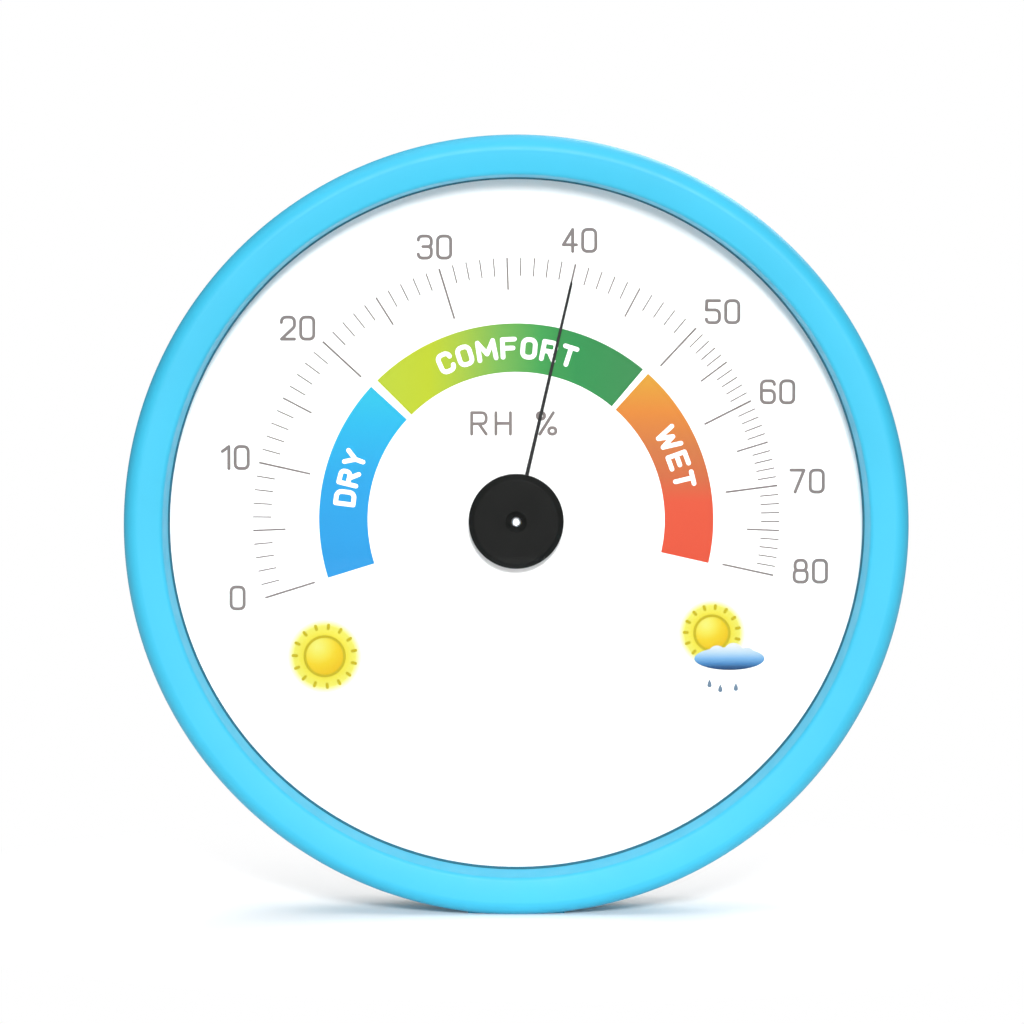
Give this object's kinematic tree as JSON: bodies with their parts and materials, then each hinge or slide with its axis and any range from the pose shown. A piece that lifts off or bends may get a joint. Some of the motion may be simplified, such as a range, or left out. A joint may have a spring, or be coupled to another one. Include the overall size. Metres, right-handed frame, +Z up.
{
  "type": "dial hygrometer",
  "caption": "Round dial hygrometer: coil-driven pointer under a clear lens in a coloured ring, with a calibration spindle, a fold-out leg and a wall keyhole.",
  "frame": {"origin": "on the table plane under the pointer axis, midway between the front crest of the ring and the back wall, with the printed dial face in the plane y = 0", "axes": "+Z up, the dial faces -Y, +X is to the right seen from the front; the pointer axis is parallel to Y, 64.8 mm above the origin"},
  "size_m": [0.13, 0.024, 0.1298],
  "materials": {
    "bezel": "smooth satin gloss, sky blue",
    "lens": "clear polished plastic",
    "spacer": "smooth satin gloss, sky blue",
    "dial": "coated printed sheet",
    "carrier": "moulded white",
    "shell": "fine moulded grain, white",
    "black_plastic": "satin charcoal",
    "needle": "satin black",
    "brass": "turned",
    "steel": "stamped or turned, bright",
    "coil_strip": "thin metal strip with a hygroscopic coating"
  },
  "bodies": {
    "case": {"bezel_ring": "bezel", "lens": "lens", "spacer_ring": "spacer", "dial_face": "dial", "dial_carrier": "carrier", "back_shell": "shell", "carrier_screw_1": "steel", "carrier_screw_2": "steel", "carrier_screw_3": "steel", "carrier_screw_4": "steel", "front_bush": "brass", "movement_bridge": "steel", "friction_washer": "steel", "bridge_screw_1": "steel", "bridge_screw_2": "steel"},
    "regulator": {"regulator_plate": "steel", "adjuster_spindle": "brass", "retaining_clip": "steel", "coil_stud": "brass", "humidity_coil": "coil_strip"},
    "pointer": {"arbor": "steel", "coil_collet": "brass", "pointer_boss": "brass", "pointer_needle": "needle", "hub_cap": "black_plastic"},
    "stand": {"stand_leg": "shell"}
  },
  "joints": [
    {"name": "calibration_turn", "type": "hinge", "parent": "case", "child": "regulator", "pos_m": [0, 0.0085, 0.0648], "axis": [0, 1, 0], "range_deg": [-25, 25]},
    {"name": "pointer_turn", "type": "hinge", "parent": "regulator", "child": "pointer", "pos_m": [0, 0, 0.0648], "axis": [0, 1, 0], "range_deg": [-120.4, 89.4], "stiffness_Nm_per_rad": 0.002},
    {"name": "stand_fold", "type": "hinge", "parent": "case", "child": "stand", "pos_m": [0, 0.0104, 0.0478], "axis": [1, 0, 0], "range_deg": [0, 29]}
  ]
}
